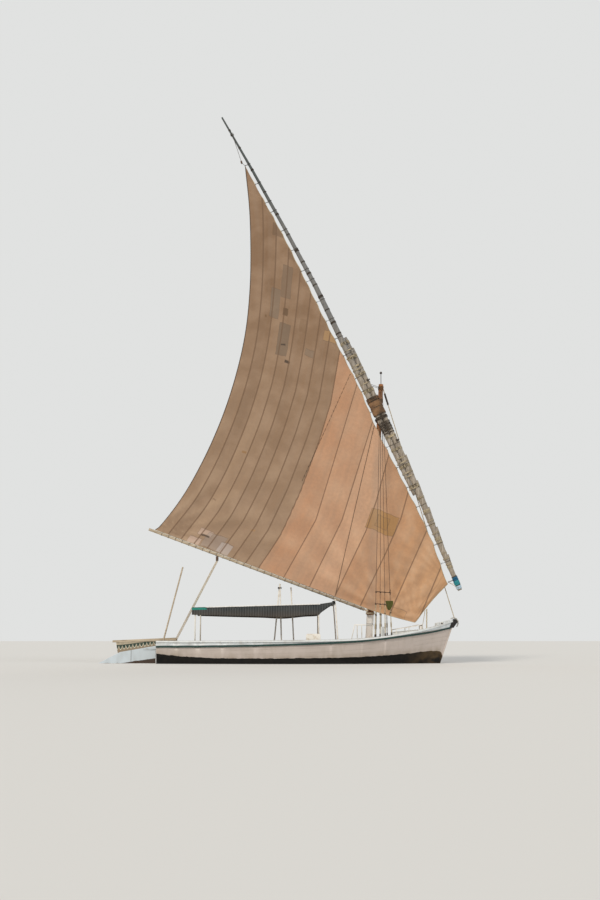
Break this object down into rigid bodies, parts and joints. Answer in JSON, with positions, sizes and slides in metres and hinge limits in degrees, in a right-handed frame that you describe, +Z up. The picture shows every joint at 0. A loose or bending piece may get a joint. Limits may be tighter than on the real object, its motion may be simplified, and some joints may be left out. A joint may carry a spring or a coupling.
{
  "type": "felucca",
  "caption": "Wooden river sailing boat with a broad hull, a short raked mast, one long lashed yard with a patched lateen sail, a boom, an awning and a large hung rudder.",
  "frame": {"origin": "on the waterline, on the centreplane, midway between transom and stemhead", "axes": "+X to the bow, +Y to port, +Z up"},
  "size_m": [12.3465, 3.0562, 19.9348],
  "materials": {
    "awning_cloth": "striped canvas",
    "black_bottom": "worn bottom paint on wood",
    "black_rubber": "matt",
    "deck_wood": "painted and bare planks",
    "green_trim": "dark green paint",
    "hull_white": "gloss white paint on planks, worn",
    "iron": "painted iron, rusty",
    "rope": "laid rope, weathered",
    "sail_cloth": "patched cotton canvas",
    "spar_wood": "weathered wood",
    "white_pipe": "white painted tube"
  },
  "bodies": {
    "hull": {"aft_bulkhead": "deck_wood", "aft_deck": "deck_wood", "awning_bundle": "awning_cloth", "awning_posts_port": "white_pipe", "awning_posts_starboard": "white_pipe", "awning_top": "awning_cloth", "awning_valance_port": "awning_cloth", "awning_valance_starboard": "awning_cloth", "bench_fronts": "deck_wood", "boom_crutch_a": "white_pipe", "boom_crutch_b": "white_pipe", "boom_strop": "rope", "bow_rail_port": "white_pipe", "bow_rail_starboard": "white_pipe", "centre_pole": "white_pipe", "floor_boards": "deck_wood", "fore_bulkhead": "deck_wood", "fore_deck": "deck_wood", "forestay": "rope", "gudgeons": "iron", "gunwale_cap_port": "hull_white", "gunwale_cap_starboard": "hull_white", "hull_shell": "hull_white", "keel": "black_bottom", "mast": "spar_wood", "mast_rod": "iron", "mast_step": "spar_wood", "mast_thwart": "spar_wood", "mooring_post": "deck_wood", "rub_rail_port": "green_trim", "rub_rail_starboard": "green_trim", "seat_back": "hull_white", "sheet_eye": "iron", "side_bench_port": "deck_wood", "side_bench_starboard": "deck_wood", "side_rail": "white_pipe", "side_stays_port": "rope", "side_stays_starboard": "rope", "stem_guard": "black_rubber", "stem_post": "hull_white", "stern_pole": "white_pipe", "stern_post": "hull_white", "stowage_box": "hull_white", "yard_lashings": "rope", "yard_lower": "spar_wood", "yard_strop": "rope", "yard_upper": "spar_wood"},
    "boom_rig": {"boom": "spar_wood", "boom_block": "spar_wood", "sail_aft": "sail_cloth", "sail_fore": "sail_cloth", "mainsheet": "rope"},
    "rudder": {"rudder_blade": "hull_white", "rudder_frieze": "green_trim", "rudder_straps": "iron", "tiller": "deck_wood"}
  },
  "joints": [
    {"name": "rudder_turn", "type": "hinge", "parent": "hull", "child": "rudder", "pos_m": [-5.078, 0, 0.4], "axis": [0, 0, 1], "range_deg": [-42, 42]},
    {"name": "boom_swing", "type": "hinge", "parent": "hull", "child": "boom_rig", "pos_m": [2.05, -0.27, 1.768], "axis": [0, 0, 1], "range_deg": [-45, 45], "deforming": ["sail_aft", "sail_fore", "mainsheet"]}
  ]
}
